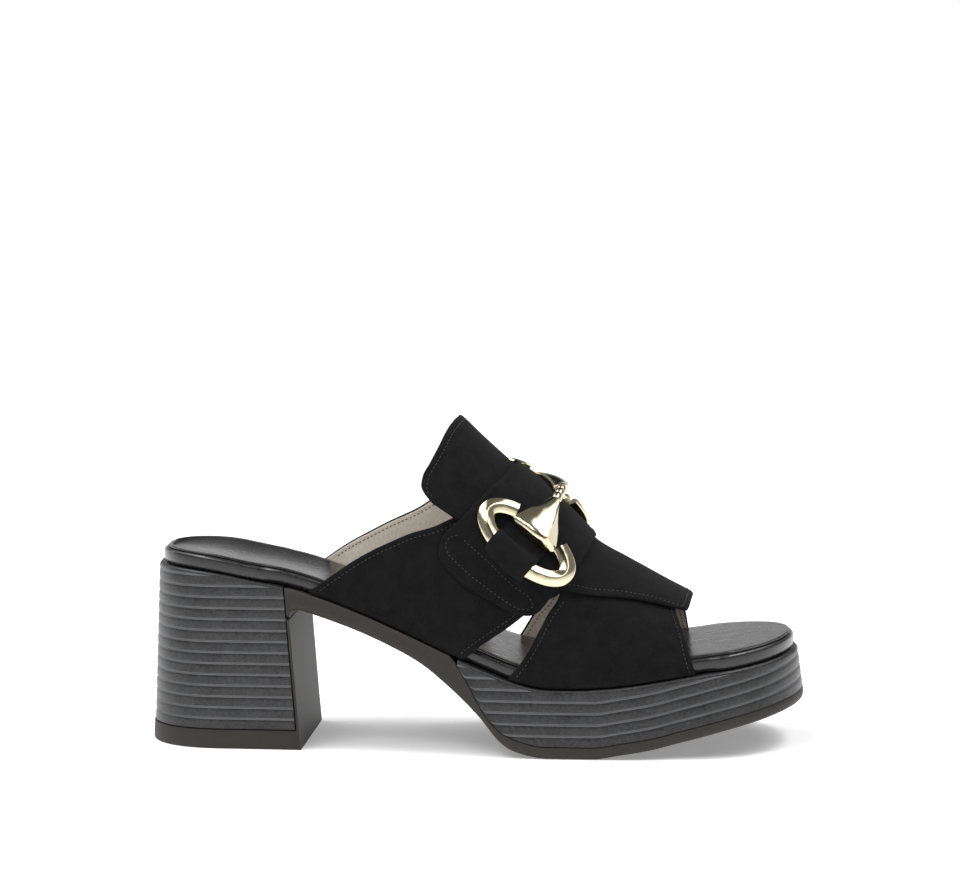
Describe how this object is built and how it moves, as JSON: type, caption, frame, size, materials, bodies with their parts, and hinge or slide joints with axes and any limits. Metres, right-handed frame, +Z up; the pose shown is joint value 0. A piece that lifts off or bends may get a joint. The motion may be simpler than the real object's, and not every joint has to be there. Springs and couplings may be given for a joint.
{
  "type": "sandal",
  "caption": "Open-toe, open-back platform slide sandal with ribbed block heel, suede straps, tongue flap and cast ring-and-bell ornament; right shoe.",
  "frame": {"origin": "on the floor, at the middle of the sole's outline", "axes": "+X towards the toe, +Y towards the inner (medial) side, +Z up"},
  "size_m": [0.248, 0.0904, 0.123],
  "materials": {
    "suede": "black suede, napped",
    "leather": "smooth black leather",
    "stacked_wall": "moulded stacked-leather look, satin",
    "sole_rubber": "smooth moulded rubber",
    "pale_gold": "polished pale gold plating"
  },
  "bodies": {
    "root": {"heel_lift": "sole_rubber", "heel_block": "stacked_wall", "outsole": "sole_rubber", "platform": "stacked_wall", "footbed": "leather", "sock": "leather", "upper": "suede", "vamp_plug": "suede", "saddle_strap": "suede", "keeper_lateral": "suede", "keeper_medial": "suede", "ring_lateral": "pale_gold", "ring_medial": "pale_gold", "bell_lateral": "pale_gold", "bell_medial": "pale_gold", "centre_knuckle": "pale_gold"}
  },
  "joints": []
}
